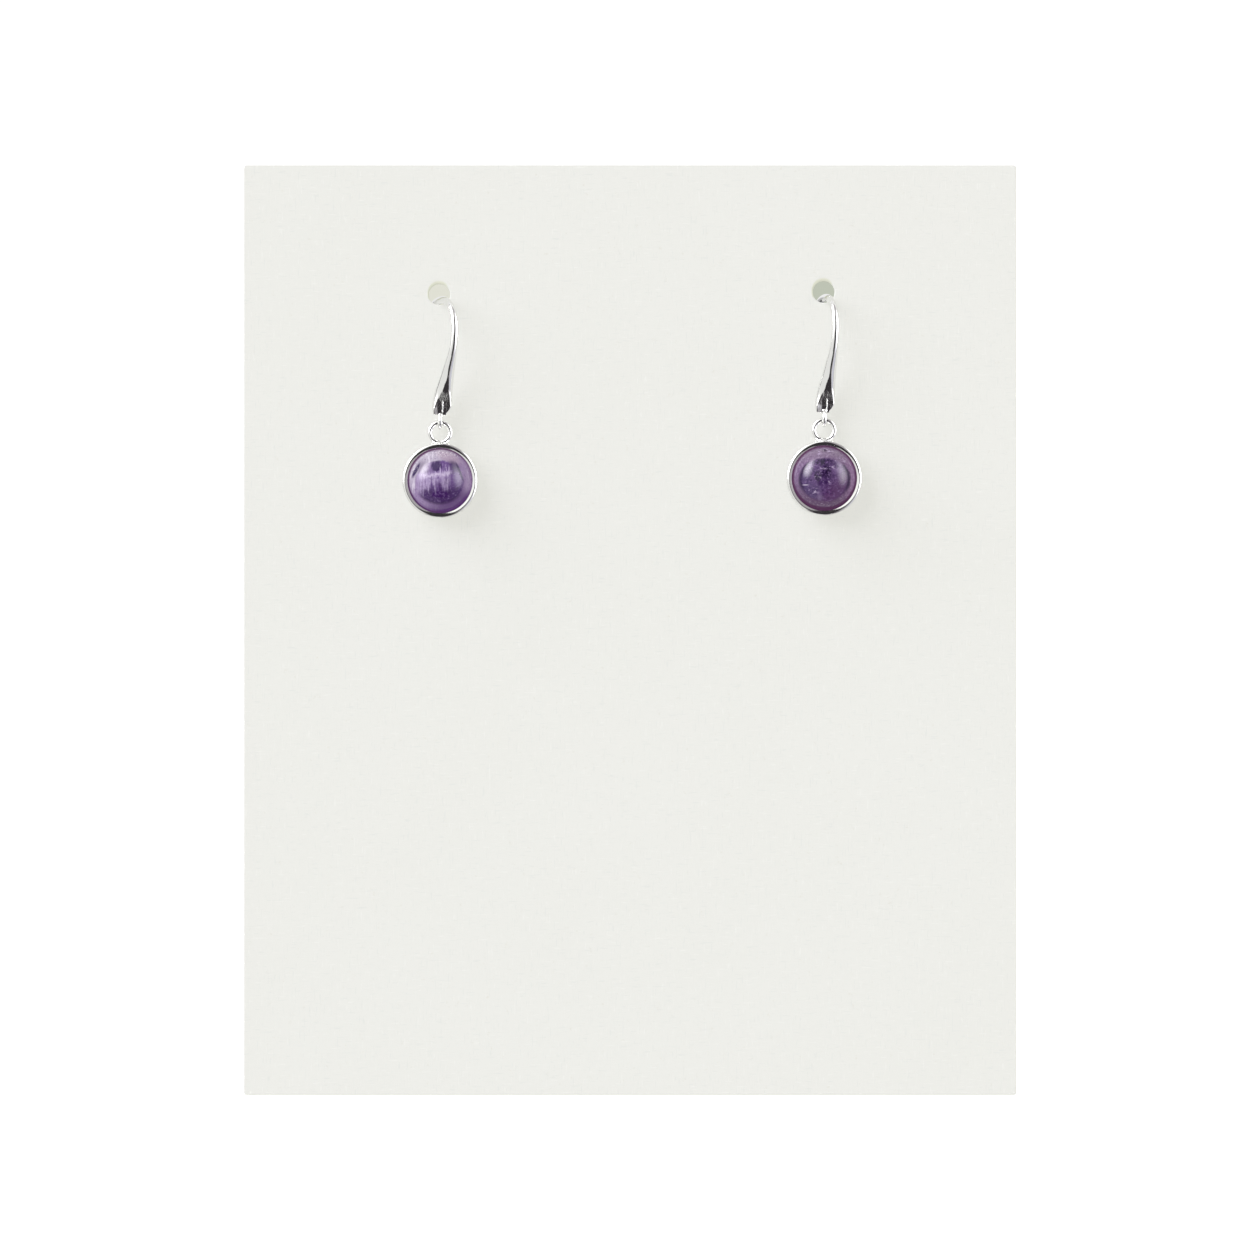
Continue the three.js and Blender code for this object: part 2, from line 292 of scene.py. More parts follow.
class Graph:
    """A node tree with short calls for the nodes that the finishes are made of."""

    def __init__(self, owner):
        owner.use_nodes = True
        self.tree = owner.node_tree
        self.tree.nodes.clear()

    def node(self, kind, inputs=None, **settings):
        """A node with its settings, and with a link or a constant for each input given."""
        made = self.tree.nodes.new(kind)
        for name, value in settings.items():
            setattr(made, name, value)
        for key, value in (inputs or {}).items():
            if isinstance(value, bpy.types.NodeSocket):
                self.tree.links.new(value, made.inputs[key])
            else:
                made.inputs[key].default_value = value
        return made

    def math(self, operation, *values):
        """One step of arithmetic on sockets or numbers."""
        return self.node("ShaderNodeMath", dict(enumerate(values)), operation=operation).outputs[0]

    def ramp(self, value, low, high, to_low=0.0, to_high=1.0):
        """Goes smoothly from to_low to to_high as the value goes from low to high."""
        inputs = {"Value": value, "From Min": low, "From Max": high}
        inputs.update({"To Min": to_low, "To Max": to_high})
        made = self.node("ShaderNodeMapRange", inputs, interpolation_type="SMOOTHSTEP")
        return made.outputs["Result"]

    def between(self, value, low, high, edge):
        """1 from low to high, falling to 0 over edge on both sides."""
        rise = self.ramp(value, low - edge, low + edge)
        fall = self.ramp(value, high - edge, high + edge, 1.0, 0.0)
        return self.math("MULTIPLY", rise, fall)

    def outside(self, mask):
        """1 where a mask is 0, and 0 where it is 1."""
        return self.math("SUBTRACT", 1.0, mask)

    def mix(self, share, first, second):
        """The first colour where the share is 0, and the second where it is 1."""
        made = self.node("ShaderNodeMix", data_type="RGBA")
        for socket, value in zip((0, 6, 7), (share, first, second)):
            if isinstance(value, bpy.types.NodeSocket):
                self.tree.links.new(value, made.inputs[socket])
            else:
                made.inputs[socket].default_value = value
        return made.outputs[2]

    def times(self, *masks):
        """The product of all the masks."""
        product = masks[0]
        for mask in masks[1:]:
            product = self.math("MULTIPLY", product, mask)
        return product

    def over(self, tone, paint, *masks):
        """A tone with a colour laid over it where all the masks are 1."""
        return self.mix(self.times(*masks), tone, paint)

    def spot(self, x, z, middle, half, soft, turn=0):
        """1 in an ellipse, falling to 0 over a share of its size. A turn leans it over to the left."""
        sine, cosine = math.sin(math.radians(turn)), math.cos(math.radians(turn))
        aside = self.math("SUBTRACT", x, middle[0])
        up = self.math("SUBTRACT", z, middle[1])
        if turn:
            along = self.math("MULTIPLY_ADD", up, sine, self.math("MULTIPLY", aside, cosine))
            up = self.math("MULTIPLY_ADD", aside, -sine, self.math("MULTIPLY", up, cosine))
            aside = along
        parts = []
        for offset, reach in ((aside, half[0]), (up, half[1])):
            share = self.math("DIVIDE", offset, reach)
            parts.append(self.math("MULTIPLY", share, share))
        reach = self.math("SQRT", self.math("ADD", *parts))
        return self.ramp(reach, 1 - soft, 1 + soft, 1.0, 0.0)

    def stretched(self, vector, scale):
        """A vector with its x, y and z each scaled on its own."""
        scaled = self.node("ShaderNodeVectorMath", {0: vector, 1: scale}, operation="MULTIPLY")
        return scaled.outputs[0]

    def noise(self, vector, scale, detail=2.0, roughness=0.5, distortion=0.0):
        """Soft noise from 0 to 1, finer as the scale goes up."""
        inputs = {"Vector": vector, "Scale": scale, "Detail": detail}
        inputs.update({"Roughness": roughness, "Distortion": distortion})
        return self.node("ShaderNodeTexNoise", inputs).outputs[0]

    def streaks(self, place, stretch, **settings):
        """Noise that runs in streaks, fine along the axes where the stretch is large."""
        return self.noise(self.stretched(place, stretch), 1.0, **settings)

    def split(self, vector):
        """The x, y and z of a vector."""
        return tuple(self.node("ShaderNodeSeparateXYZ", {0: vector}).outputs)

    def here(self):
        """The place on the piece, in millimetres from its origin."""
        place = self.node("ShaderNodeTexCoord").outputs["Object"]
        return self.stretched(place, (1 / MM,) * 3)

    def facing(self):
        """The x, y and z of the direction that the surface faces."""
        return self.split(self.node("ShaderNodeNewGeometry").outputs["Normal"])

    def bumped(self, height, distance, strength=1.0):
        """The surface's direction, bent by a relief whose height of 1 stands for a distance."""
        inputs = {"Strength": strength, "Distance": distance, "Height": height}
        return self.node("ShaderNodeBump", inputs).outputs[0]

    def surface(self, inputs):
        """The material's shader and its output."""
        shader = self.node("ShaderNodeBsdfPrincipled", inputs)
        output = self.node("ShaderNodeOutputMaterial")
        self.tree.links.new(shader.outputs[0], output.inputs[0])


def colour(red, green, blue):
    """A colour given as it looks on a screen, from 0 to 255, in the linear values that shaders take."""
    linear = []
    for value in (red, green, blue):
        part = value / 255
        linear.append(part / 12.92 if part <= 0.04045 else ((part + 0.055) / 1.055) ** 2.4)
    return (*linear, 1.0)


def grey(value):
    """A linear grey."""
    return (value, value, value, 1.0)


# ---------- finishes of the card and the silver ----------


def linen_threads(graph, place):
    """The upright threads and the level threads of the board's emboss."""
    upright = graph.streaks(place, (7.0, 1.0, 0.9), detail=3.0, roughness=0.55)
    level = graph.streaks(place, (0.9, 1.0, 7.0), detail=3.0, roughness=0.55)
    return upright, level


def lip_shade(graph):
    """1 at the upper left of a hole's rolled lip, where the punch dragged the board's edge in and the
    lip faces away from the key lamp: where painted shade goes.
    """
    right, inward, up = graph.facing()
    rolled = graph.ramp(graph.math("ABSOLUTE", inward), 0.9995, 0.97)
    downward = graph.math("SUBTRACT", graph.math("MULTIPLY", right, 0.7), up)
    return graph.times(rolled, graph.ramp(downward, 0.0, 0.2))


def card_finish():
    """Off-white board, with painted light and shade on its emboss and painted shade on its holes' lips.
    """
    material = bpy.data.materials.new("embossed_card")
    graph = Graph(material)
    place = graph.here()
    upright, level = linen_threads(graph, place)
    raised = graph.math("MAXIMUM", upright, level)
    sunk = graph.math("MINIMUM", upright, level)
    cloudy = graph.noise(place, 0.05, detail=2.0)
    pulp = graph.noise(place, 2.2, detail=4.0, roughness=0.6)
    tone = graph.mix(cloudy, colour(235, 235, 233), colour(233, 233, 230))
    tone = graph.over(tone, colour(227, 226, 221), graph.ramp(pulp, 0.62, 0.8))
    # painted light and shade of the emboss: paler on the raised threads, darker where they sink
    tone = graph.over(tone, colour(239, 239, 237), graph.ramp(raised, 0.6, 0.76))
    tone = graph.over(tone, colour(229, 230, 228), graph.ramp(sunk, 0.4, 0.28))
    # painted shade on the lips' faces that turn away from the key lamp, in the tone of the board's core
    tone = graph.over(tone, colour(224, 226, 208), lip_shade(graph), 0.8)
    graph.surface({
        "Base Color": tone,
        "Roughness": 0.8,
        "Specular IOR Level": 0.25,
        "Normal": graph.bumped(raised, THREAD_HEIGHT * MM, 0.8),
    })
    return material


def polished_silver(name, roughness, carve=None):
    """Polished metal with faint marks along it. carve(graph, place) gives more relief, in mm."""
    material = bpy.data.materials.new(name)
    graph = Graph(material)
    place = graph.here()
    marks = graph.streaks(place, (9.0, 9.0, 2.5), detail=3.0)
    relief = graph.math("MULTIPLY", marks, POLISH_MARKS)
    if carve:
        relief = graph.math("ADD", relief, carve(graph, place))
    graph.surface({
        "Base Color": SILVER,
        "Metallic": 1.0,
        "Roughness": graph.ramp(marks, 0.3, 0.8, roughness, roughness + 0.06),
        "Normal": graph.bumped(relief, MM),
    })
    return material


def filed_streaks(graph, place, z):
    """File marks down the blade's facet, fainter towards its top."""
    streaks = graph.streaks(place, (5.0, 2.0, 1.0), detail=4.0, roughness=0.6)
    fading = graph.ramp(z, 3.0, 3.6, 1.0, 0.35)
    return graph.times(streaks, fading, graph.between(z, 1.2, 4.6, 0.9))


def foot_seam(graph, place, x, z):
    """A fine raised line that wanders down the foot, to the right of its middle."""
    wander = graph.streaks(place, (0.0, 0.0, 2.2), detail=1.0)
    aside = graph.math("MULTIPLY_ADD", wander, 0.25, graph.math("SUBTRACT", x, 0.4))
    line = graph.ramp(graph.math("ABSOLUTE", aside), 0.0, 0.07, SEAM_HEIGHT, 0.0)
    return graph.times(line, graph.between(z, 1.45, 2.6, 0.2))


def foot_left(graph, x, z):
    """The foot's left side, which rises in a curve, and its lower left corner, a flat facet."""
    bend = graph.math("MAXIMUM", graph.math("SUBTRACT", -0.05, x), 0.0)
    bend = graph.times(bend, bend, graph.between(z, 1.9, 3.2, 0.4), FOOT_BEND)
    facet = graph.math("MAXIMUM", graph.math("SUBTRACT", -0.25, x), 0.0)
    facet = graph.times(facet, graph.ramp(z, 1.8, 2.15, 1.0, 0.0), FOOT_FACET)
    return graph.math("ADD", bend, facet)


def foot_relief(graph, place):
    """The relief on the front of the blade's foot: file marks, a seam, and its bent left side."""
    x, _, z = graph.split(place)
    in_front = graph.ramp(graph.facing()[1], -0.8, -0.93)
    smooth = graph.math("ADD", foot_seam(graph, place, x, z), foot_left(graph, x, z))
    relief = graph.math("MULTIPLY_ADD", filed_streaks(graph, place, z), STREAK_HEIGHT, smooth)
    return graph.math("MULTIPLY", relief, in_front)


# ---------- finishes of the stones ----------


def amethyst(name, build_tone):
    """Polished stone. build_tone(graph) gives the colour under its surface, with painted light and
    shade laid into it.
    """
    material = bpy.data.materials.new(name)
    graph = Graph(material)
    graph.surface({
        "Base Color": build_tone(graph),
        "Roughness": 0.11,
        "IOR": 1.42,
    })
    return material


def core_and_outline(graph, face, half_width):
    """Masks on a stone's face: its oval core, outside which the ring's tone is painted refracted light,
    and a ragged outline round the core, which takes painted dark reflections.
    """
    wavy_x = graph.math("MULTIPLY_ADD", face.grain, 0.3, graph.math("SUBTRACT", face.x, 0.15))
    wavy_z = graph.math("MULTIPLY_ADD", face.grain, 0.3, graph.math("SUBTRACT", face.z, 0.15))

    def oval(across, up, soft):
        return graph.spot(wavy_x, wavy_z, CORE_MIDDLE, (across, up), soft)

    core = oval(half_width, 2.07, 0.05)
    inner = oval(half_width - 0.16, 1.95, 0.06)
    outer = oval(half_width + 0.16, 2.2, 0.05)
    return core, graph.times(outer, graph.outside(inner))


def with_bezel_reflection(graph, face, tone, middle, half, bezel_reflection_tone):
    """A stone's tone with a painted reflection of the bezel's wall where its edge meets the bezel."""
    edge = graph.outside(graph.spot(face.x, face.z, middle, half, 0.03))
    return graph.over(tone, bezel_reflection_tone, edge)


def pale_ground(graph, face):
    """The core's ground: dark below, paler above and palest to the left."""
    tone = graph.mix(graph.ramp(face.z, -1.4, 0.2), colour(64, 30, 94), colour(104, 76, 134))
    side = graph.ramp(graph.math("MULTIPLY_ADD", face.z, -0.5, face.x), -0.6, -1.9)
    tone = graph.over(tone, colour(138, 116, 156), side)
    tone = graph.over(tone, colour(136, 108, 164), graph.ramp(face.grain, 0.48, 0.7, 0.0, 0.6))
    return graph.over(tone, colour(54, 26, 76), graph.ramp(face.cloud, 0.52, 0.34, 0.0, 0.6))


def pale_fibres(graph, face, tone):
    """Fibres that hang below the veil, tufts above it, and a dark hollow among the tufts."""
    x, z, fine = face.x, face.z, face.fine
    # z is raised where the fibres are long
    hanging = graph.math("MULTIPLY_ADD", face.locks, 3.6, z)
    hanging = graph.math("MULTIPLY_ADD", fine, 1.2, hanging)
    hanging = graph.math("ADD", hanging, graph.ramp(x, -0.8, -1.9, 0.0, 0.8))
    width = graph.between(x, -2.3, 1.05, 0.15)
    curtain = graph.times(graph.ramp(hanging, 1.3, 2.5), graph.ramp(z, 0.95, 0.5), width)
    strands = graph.ramp(fine, 0.36, 0.6, 0.25, 1.0)
    grains = graph.ramp(face.grain, 0.34, 0.54, 0.45, 0.9)
    tone = graph.over(tone, colour(180, 161, 200), curtain, strands, grains)
    tufts = graph.spot(x, z, (0.3, 0.95), (0.75, 0.6), 0.35)
    tone = graph.over(tone, colour(194, 175, 214), tufts, graph.ramp(fine, 0.46, 0.58), 0.8)
    hollow = graph.spot(x, z, (-0.28, 1.36), (0.52, 0.52), 0.2)
    return graph.over(tone, colour(60, 38, 88), hollow, graph.ramp(fine, 0.66, 0.54, 0.15, 1.0))


def pale_veil(graph, face, tone):
    """The ragged pale band across the core, which the fibres hang from."""
    level = graph.math("MULTIPLY_ADD", face.x, -0.147, face.z)
    level = graph.math("MULTIPLY_ADD", face.locks, 0.5, level)
    level = graph.math("MULTIPLY_ADD", face.fine, 0.4, level)
    band = graph.between(level, 0.9, 1.12, 0.16)
    veil = graph.times(band, graph.between(face.x, -1.5, 1.15, 0.2))
    return graph.over(tone, colour(208, 193, 222), veil, graph.ramp(face.grain, 0.36, 0.56, 0.1, 0.95))


def pale_ring_painted_light(graph, face):
    """The ring round the core, whose tone is painted refracted light: paler at its upper left, towards
    the key light, and darker at its lower right, with pale crumbs near its top.
    """
    x, z = face.x, face.z
    lit = graph.math("MULTIPLY_ADD", x, -0.6, graph.math("MULTIPLY", z, 0.85))
    tone = graph.mix(graph.ramp(lit, -2.7, -0.6), colour(94, 57, 121), colour(146, 120, 168))
    tone = graph.over(tone, colour(176, 165, 184), graph.ramp(lit, -0.2, 2.4))
    right = graph.times(graph.ramp(x, 1.8, 2.8), graph.ramp(z, -1.8, -0.4))
    tone = graph.over(tone, colour(158, 134, 176), right)
    tone = graph.over(tone, colour(104, 76, 130), graph.ramp(face.grain, 0.5, 0.3, 0.0, 0.75))
    # painted light at the ring's upper left, towards the key light
    lit_upper_left = graph.times(graph.ramp(x, 0.5, -1.0, 0.0, 0.7), graph.ramp(z, -2.0, -0.2, 0.1, 1.0))
    tone = graph.over(tone, colour(218, 209, 226), graph.ramp(face.fine, 0.47, 0.62), lit_upper_left)
    blush = graph.spot(x, z, (0.9, 2.2), (1.2, 0.5), 0.5, turn=-25)
    tone = graph.over(tone, colour(176, 152, 170), blush, 0.5)
    crumbs = graph.ramp(graph.noise(face.place, 8.0, detail=2.0), 0.56, 0.66)
    return graph.over(tone, colour(236, 226, 238), crumbs, graph.ramp(z, 2.0, 2.6), 0.8)


def pale_glow_and_dark_reflections(graph, face, tone, outline):
    """Milky stone over the core's outline at the upper left, partly painted glow round the key light's
    reflection, and painted dark reflections along the outline.
    """
    x, z = face.x, face.z
    # milky stone, partly painted glow round the reflection of the key light
    milk_and_glow = graph.spot(x, z, (-1.75, 1.35), (0.6, 0.5), 0.7, turn=45)
    tone = graph.over(tone, colour(140, 128, 150), milk_and_glow, graph.ramp(face.fine, 0.3, 0.6, 0.5, 1.0))
    # painted dark reflections along the core's outline: a crescent at its left, a patch and a stroke at
    # its upper right
    ragged = graph.ramp(face.grain, 0.66, 0.56, 0.5, 1.0)
    dark_reflection_crescent = graph.spot(x, z, (-2.3, 0.95), (0.16, 0.78), 0.35, turn=-29)
    tone = graph.over(tone, colour(44, 18, 78), dark_reflection_crescent, ragged)
    patch = graph.spot(x, z, (1.45, 1.35), (0.62, 0.32), 0.5, turn=-45)
    tone = graph.over(tone, colour(66, 44, 90), patch, 0.8)
    dark_reflection_stroke = graph.spot(x, z, (1.95, 0.8), (0.11, 0.9), 0.45, turn=22)
    tone = graph.over(tone, colour(46, 22, 76), dark_reflection_stroke, ragged, 0.95)
    # painted dark reflection along the outline's lower part
    return graph.over(tone, colour(50, 22, 72), outline, graph.ramp(z, -1.0, -1.7), 0.5)


def pale_tone(graph):
    """Milky above, with a ragged pale veil whose fibres hang down into a dark purple lower half."""
    place = graph.here()
    x, _, z = graph.split(place)
    face = SimpleNamespace(
        place=place,
        x=x,
        z=z,
        fine=graph.streaks(place, (6.5, 1.0, 0.8), detail=4.0, roughness=0.65, distortion=0.3),
        locks=graph.streaks(place, (2.8, 1.0, 0.45), detail=3.0, roughness=0.55),
        grain=graph.noise(place, 4.0, detail=5.0, roughness=0.7),
        cloud=graph.noise(place, 1.1, detail=4.0, roughness=0.6, distortion=0.3),
    )
    core, outline = core_and_outline(graph, face, 2.3)
    tone = pale_ground(graph, face)
    tone = pale_fibres(graph, face, tone)
    tone = pale_veil(graph, face, tone)
    # outside the core, the ring's painted refracted light
    tone = graph.mix(core, pale_ring_painted_light(graph, face), tone)
    tone = pale_glow_and_dark_reflections(graph, face, tone, outline)
    # the painted reflection of the bezel round the stone's edge, darker below
    bezel_reflection_tone = graph.mix(graph.ramp(z, -2.0, 1.5), colour(88, 54, 100), colour(104, 72, 106))
    return with_bezel_reflection(graph, face, tone, (0.07, -0.04), (3.03, 3.01), bezel_reflection_tone)


def deep_ground(graph, face):
    """The core's ground: bluish at its lower left, reddish at its lower right, mottled all over."""
    x, z = face.x, face.z
    tone = graph.mix(graph.ramp(face.cloud, 0.36, 0.62), colour(56, 30, 80), colour(94, 66, 116))
    bluish = graph.ramp(graph.math("ADD", x, z), -0.8, -2.4, 0.0, 0.8)
    tone = graph.over(tone, colour(74, 54, 100), bluish)
    reddish = graph.ramp(graph.math("SUBTRACT", x, z), 0.4, 2.4, 0.0, 0.8)
    tone = graph.over(tone, colour(90, 50, 100), reddish)
    tone = graph.over(tone, colour(126, 98, 148), graph.ramp(face.grain, 0.48, 0.7, 0.0, 0.75))
    return graph.over(tone, colour(46, 22, 66), graph.ramp(face.flake, 0.44, 0.3, 0.0, 0.8))


def deep_blots(graph, face, tone, ragged):
    """Dark blots on the core, a pale film low down, and a paler patch at its upper right that is a
    painted highlight.
    """
    x, z = face.x, face.z
    for middle, half in DEEP_BLOTS:
        tone = graph.over(tone, colour(34, 14, 54), graph.spot(x, z, middle, half, 0.45), ragged)
    film_and_sheen = graph.spot(x, z, (-0.5, -1.75), (0.22, 0.55), 0.6)
    tone = graph.over(tone, colour(140, 118, 158), film_and_sheen, ragged, 0.5)
    # painted highlight: the fill light's reflection reaching up the upper right
    film_and_sheen = graph.spot(x, z, (1.3, 1.2), (0.5, 0.6), 0.6)
    return graph.over(tone, colour(138, 114, 156), film_and_sheen, graph.ramp(face.cloud, 0.4, 0.6, 0.2, 0.8))


def deep_ring_painted_light(graph, face):
    """The ring round the core, whose tone is painted refracted light: paler above and redder to the
    right.
    """
    tone = graph.mix(graph.ramp(face.z, -2.8, 0.4), colour(90, 60, 98), colour(122, 94, 134))
    tone = graph.over(tone, colour(130, 110, 136), graph.ramp(face.z, 0.8, 2.6))
    tone = graph.over(tone, colour(142, 98, 148), graph.ramp(face.x, 1.2, 2.8, 0.0, 0.6))
    tone = graph.over(tone, colour(84, 58, 100), graph.ramp(face.grain, 0.5, 0.32, 0.0, 0.75))
    return graph.over(tone, colour(172, 152, 182), graph.ramp(face.grain, 0.52, 0.7, 0.0, 0.5))


def deep_flecks(graph, face, tone):
    """Pale flecks in loose groups, and one pale streak."""
    x, z = face.x, face.z
    groups = graph.spot(x, z, (0.2, 1.02), (1.2, 0.22), 0.6)
    for middle, half in DEEP_FLECKS:
        groups = graph.math("MAXIMUM", groups, graph.spot(x, z, middle, half, 0.5))
    tone = graph.over(tone, colour(182, 162, 196), groups, graph.ramp(face.flake, 0.55, 0.63), 0.8)
    streak = graph.spot(x, z, (-1.86, -0.7), (0.26, 0.04), 0.7)
    return graph.over(tone, colour(206, 192, 218), streak, 0.9)


def deep_tone(graph):
    """Deep purple with dark blots, pale flecks and a small pit near its top."""
    place = graph.here()
    x, _, z = graph.split(place)
    face = SimpleNamespace(
        x=x,
        z=z,
        cloud=graph.noise(place, 1.0, detail=4.0, roughness=0.6, distortion=0.5),
        grain=graph.noise(place, 4.0, detail=5.0, roughness=0.7, distortion=0.3),
        flake=graph.streaks(place, (2.6, 1.0, 4.6), detail=4.0, roughness=0.6, distortion=0.8),
    )
    core, outline = core_and_outline(graph, face, 2.36)
    ragged = graph.ramp(face.grain, 0.6, 0.46, 0.15, 1.0)
    tone = deep_blots(graph, face, deep_ground(graph, face), ragged)
    # outside the core, the ring's painted refracted light
    tone = graph.mix(core, deep_ring_painted_light(graph, face), tone)
    # painted dark reflection along the core's outline at its left and right sides, fainter low down
    dark_edge_sides = graph.math("MAXIMUM", graph.ramp(x, -1.2, -1.7), graph.ramp(x, 1.5, 2.0))
    tone = graph.over(tone, colour(44, 22, 64), outline, dark_edge_sides, graph.ramp(z, -1.6, -0.6, 0.3, 0.9))
    tone = deep_flecks(graph, face, tone)
    pit = graph.spot(x, z, (0.0, 2.68), (0.18, 0.13), 0.5)
    tone = graph.over(tone, colour(60, 36, 70), pit, ragged)
    # the painted reflection of the bezel round the stone's edge, darker below
    bezel_reflection_tone = graph.mix(graph.ramp(z, -2.4, 1.5), colour(90, 54, 90), colour(98, 64, 96))
    return with_bezel_reflection(graph, face, tone, (0.02, 0.07), (2.97, 2.89), bezel_reflection_tone)


# ---------- display card ----------


def hole_circles():
    """The centre and radius of each punched hole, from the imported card's own vertices."""
    low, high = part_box("display_card")
    circles = []
    for sign in (-1, 1):
        rim = []
        for vertex in frame["nodes"]["display_card"].data.vertices:
            x, _, z = vertex.co
            inside = abs(x) < high.x - MM and low.z + MM < z < high.z - MM
            if inside and x * sign > 0:
                rim.append(Vector((x, z)))
        centre = sum(rim, Vector((0, 0))) / len(rim)
        circles.append((centre / MM, (rim[0] - centre).length / MM))
    return circles


def rounded_rectangle(low, high, inset, corner, steps=6):
    """Points round a rectangle with rounded corners, drawn in by an inset."""
    points = []
    centres = (
        (high[0] - corner, low[1] + corner, -90),
        (high[0] - corner, high[1] - corner, 0),
        (low[0] + corner, high[1] - corner, 90),
        (low[0] + corner, low[1] + corner, 180),
    )
    for x, z, start in centres:
        points += arc((x, z), corner - inset, start, start + 90, steps)
    return points


def edge_profile(front_round, back_round, steps=5):
    """How far an edge is drawn back, and its depth from the front, from front to back."""
    low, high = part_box("display_card")
    thickness = (high.y - low.y) / MM
    front = arc((front_round, front_round), front_round, 270, 180, steps)
    back = arc((back_round, thickness - back_round), back_round, 180, 90, steps)
    return front + back


def punched_ring(centre, radius, back):
    """Points round a hole whose edge is drawn back, and further at its top, where the punch dragged."""
    points = []
    for i in range(HOLE_SIDES):
        angle = 2 * math.pi * i / HOLE_SIDES
        reach = radius + back * (1 + PUNCH_DRAG * max(math.sin(angle), 0) ** 2)
        points.append((centre[0] + reach * math.cos(angle), centre[1] + reach * math.sin(angle)))
    return points


def cut_edges():
    """The card's outline and its two holes, each as rings of points with their depth from the front."""
    low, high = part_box("display_card")
    corners = (low.x / MM, low.z / MM), (high.x / MM, high.z / MM)
    outline = []
    for back, depth in edge_profile(CARD_EDGE, CARD_EDGE):
        outline.append((rounded_rectangle(*corners, back, CARD_CORNER), depth))
    edges = [outline]
    for centre, radius in hole_circles():
        wall = []
        for back, depth in edge_profile(PUNCHED_LIP, CARD_EDGE):
            wall.append((punched_ring(centre, radius, back), depth))
        edges.append(wall)
    return edges


def add_wall(shape, rings, front):
    """Adds the wall of a cut edge to a bmesh. Returns the edges of its front and of its back ring."""
    made = []
    for outline, depth in rings:
        y = front + depth * MM
        made.append([shape.verts.new((x * MM, y, z * MM)) for x, z in outline])
    count = len(made[0])
    for a, b in zip(made, made[1:]):
        for i in range(count):
            j = (i + 1) % count
            shape.faces.new((a[i], a[j], b[j], b[i]))
    ends = []
    for ring in (made[0], made[-1]):
        ends.append([shape.edges.get((ring[i], ring[(i + 1) % count])) for i in range(count)])
    return ends


def card_skins(shape):
    """Fills a bmesh with the card: its cut edges, the walls of its holes, and its two faces."""
    low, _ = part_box("display_card")
    front_edges = []
    back_edges = []
    for rings in cut_edges():
        front, back = add_wall(shape, rings, low.y)
        front_edges += front
        back_edges += back
    for edges in (front_edges, back_edges):
        bmesh.ops.triangle_fill(shape, use_beauty=True, edges=edges)
    bmesh.ops.recalc_face_normals(shape, faces=shape.faces)


def display_card():
    """The card, whose faces are shaded flat up to their rounded edges."""
    mesh = bpy.data.meshes.new("card")
    shape = bmesh.new()
    card_skins(shape)
    shape.to_mesh(mesh)
    shape.free()
    mesh.polygons.foreach_set("use_smooth", [True] * len(mesh.polygons))
    mesh.materials.append(card_finish())
    card = bpy.data.objects.new("card", mesh)
    bpy.context.scene.collection.objects.link(card)
    flat = card.modifiers.new("flat faces", "WEIGHTED_NORMAL")
    flat.mode = "FACE_AREA"
    flat.weight = 100
    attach(card, "card_and_hooks")
    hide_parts("display_card")


# ---------- ear hooks ----------


def walk(path):
    """Stations (forward, up, heading) along a path, from the top of the arch's centreline."""
    forward = up = heading = 0.0
    stations = [(forward, up, heading)]
    for row in path:
        bend = math.radians(-row.get("turn", 0))
        length = row.get("length", row.get("radius", 0) * abs(bend))
        steps = math.ceil(length / STATION_STEP)
        for _ in range(steps):
            heading += bend / steps / 2
            forward += length / steps * math.cos(heading)
            up += length / steps * math.sin(heading)
            heading += bend / steps / 2
            stations.append((forward, up, heading))
    return stations


def slopes(depths, values):
    """A slope at each row that keeps the curve between rows free of bumps."""
    steps = np.diff(depths)
    rises = np.diff(values) / steps
    made = np.zeros(len(values))
    for i in range(1, len(values) - 1):
        before, after = rises[i - 1], rises[i]
        if before * after > 0:
            made[i] = 2 * before * after / (before + after)
    made[-1] = rises[-1]
    return made


BLADE_TABLE = np.array(BLADE, float)
BLADE_SLOPES = np.array([slopes(BLADE_TABLE[:, 0], column) for column in BLADE_TABLE.T]).T


def blade_at(depth):
    """The blade's section at a depth, on smooth curves through the table's rows."""
    depths = BLADE_TABLE[:, 0]
    depth = min(max(depth, depths[0]), depths[-1])
    row = min(np.searchsorted(depths, depth, side="right") - 1, len(depths) - 2)
    step = depths[row + 1] - depths[row]
    t = (depth - depths[row]) / step
    values = (
        (2 * t**3 - 3 * t**2 + 1) * BLADE_TABLE[row]
        + (t**3 - 2 * t**2 + t) * step * BLADE_SLOPES[row]
        + (3 * t**2 - 2 * t**3) * BLADE_TABLE[row + 1]
        + (t**3 - t**2) * step * BLADE_SLOPES[row + 1]
    )
    return dict(zip(BLADE_COLUMNS, values))


def smooth_least(a, b, blend):
    """The lesser of two values, eased where they differ by less than blend."""
    if blend <= 0:
        return min(a, b)
    share = min(max(0.5 + 0.5 * (b - a) / blend, 0), 1)
    return b + (a - b) * share - blend * share * (1 - share)


def section_outline(section, yaw):
    """Points (across, out) round a section of the hook, twisted back by its share of the yaw."""
    points = []
    front = section["front"]
    facet = section["facet"]
    twist = Matrix.Rotation(section["squared"] * yaw, 2)
    for i in range(WIRE_SIDES):
        angle = 2 * math.pi * i / WIRE_SIDES
        sine, cosine = math.sin(angle), math.cos(angle)
        power = 2 / section["ridge"] if sine > 0 else 1
        across = section["width"] / 2 * math.copysign(abs(cosine) ** power, cosine)
        if across > 0:
            across *= 1 - section["trim"]
        reach = front if sine > 0 else section["back"]
        out = reach * math.copysign(abs(sine) ** power, sine)
        out = smooth_least(out, front * (1 - facet), min(FACET_EDGE, facet * front))
        across += section["skew"] * max(out, 0)
        points.append(twist @ Vector((across, out)))
    return points


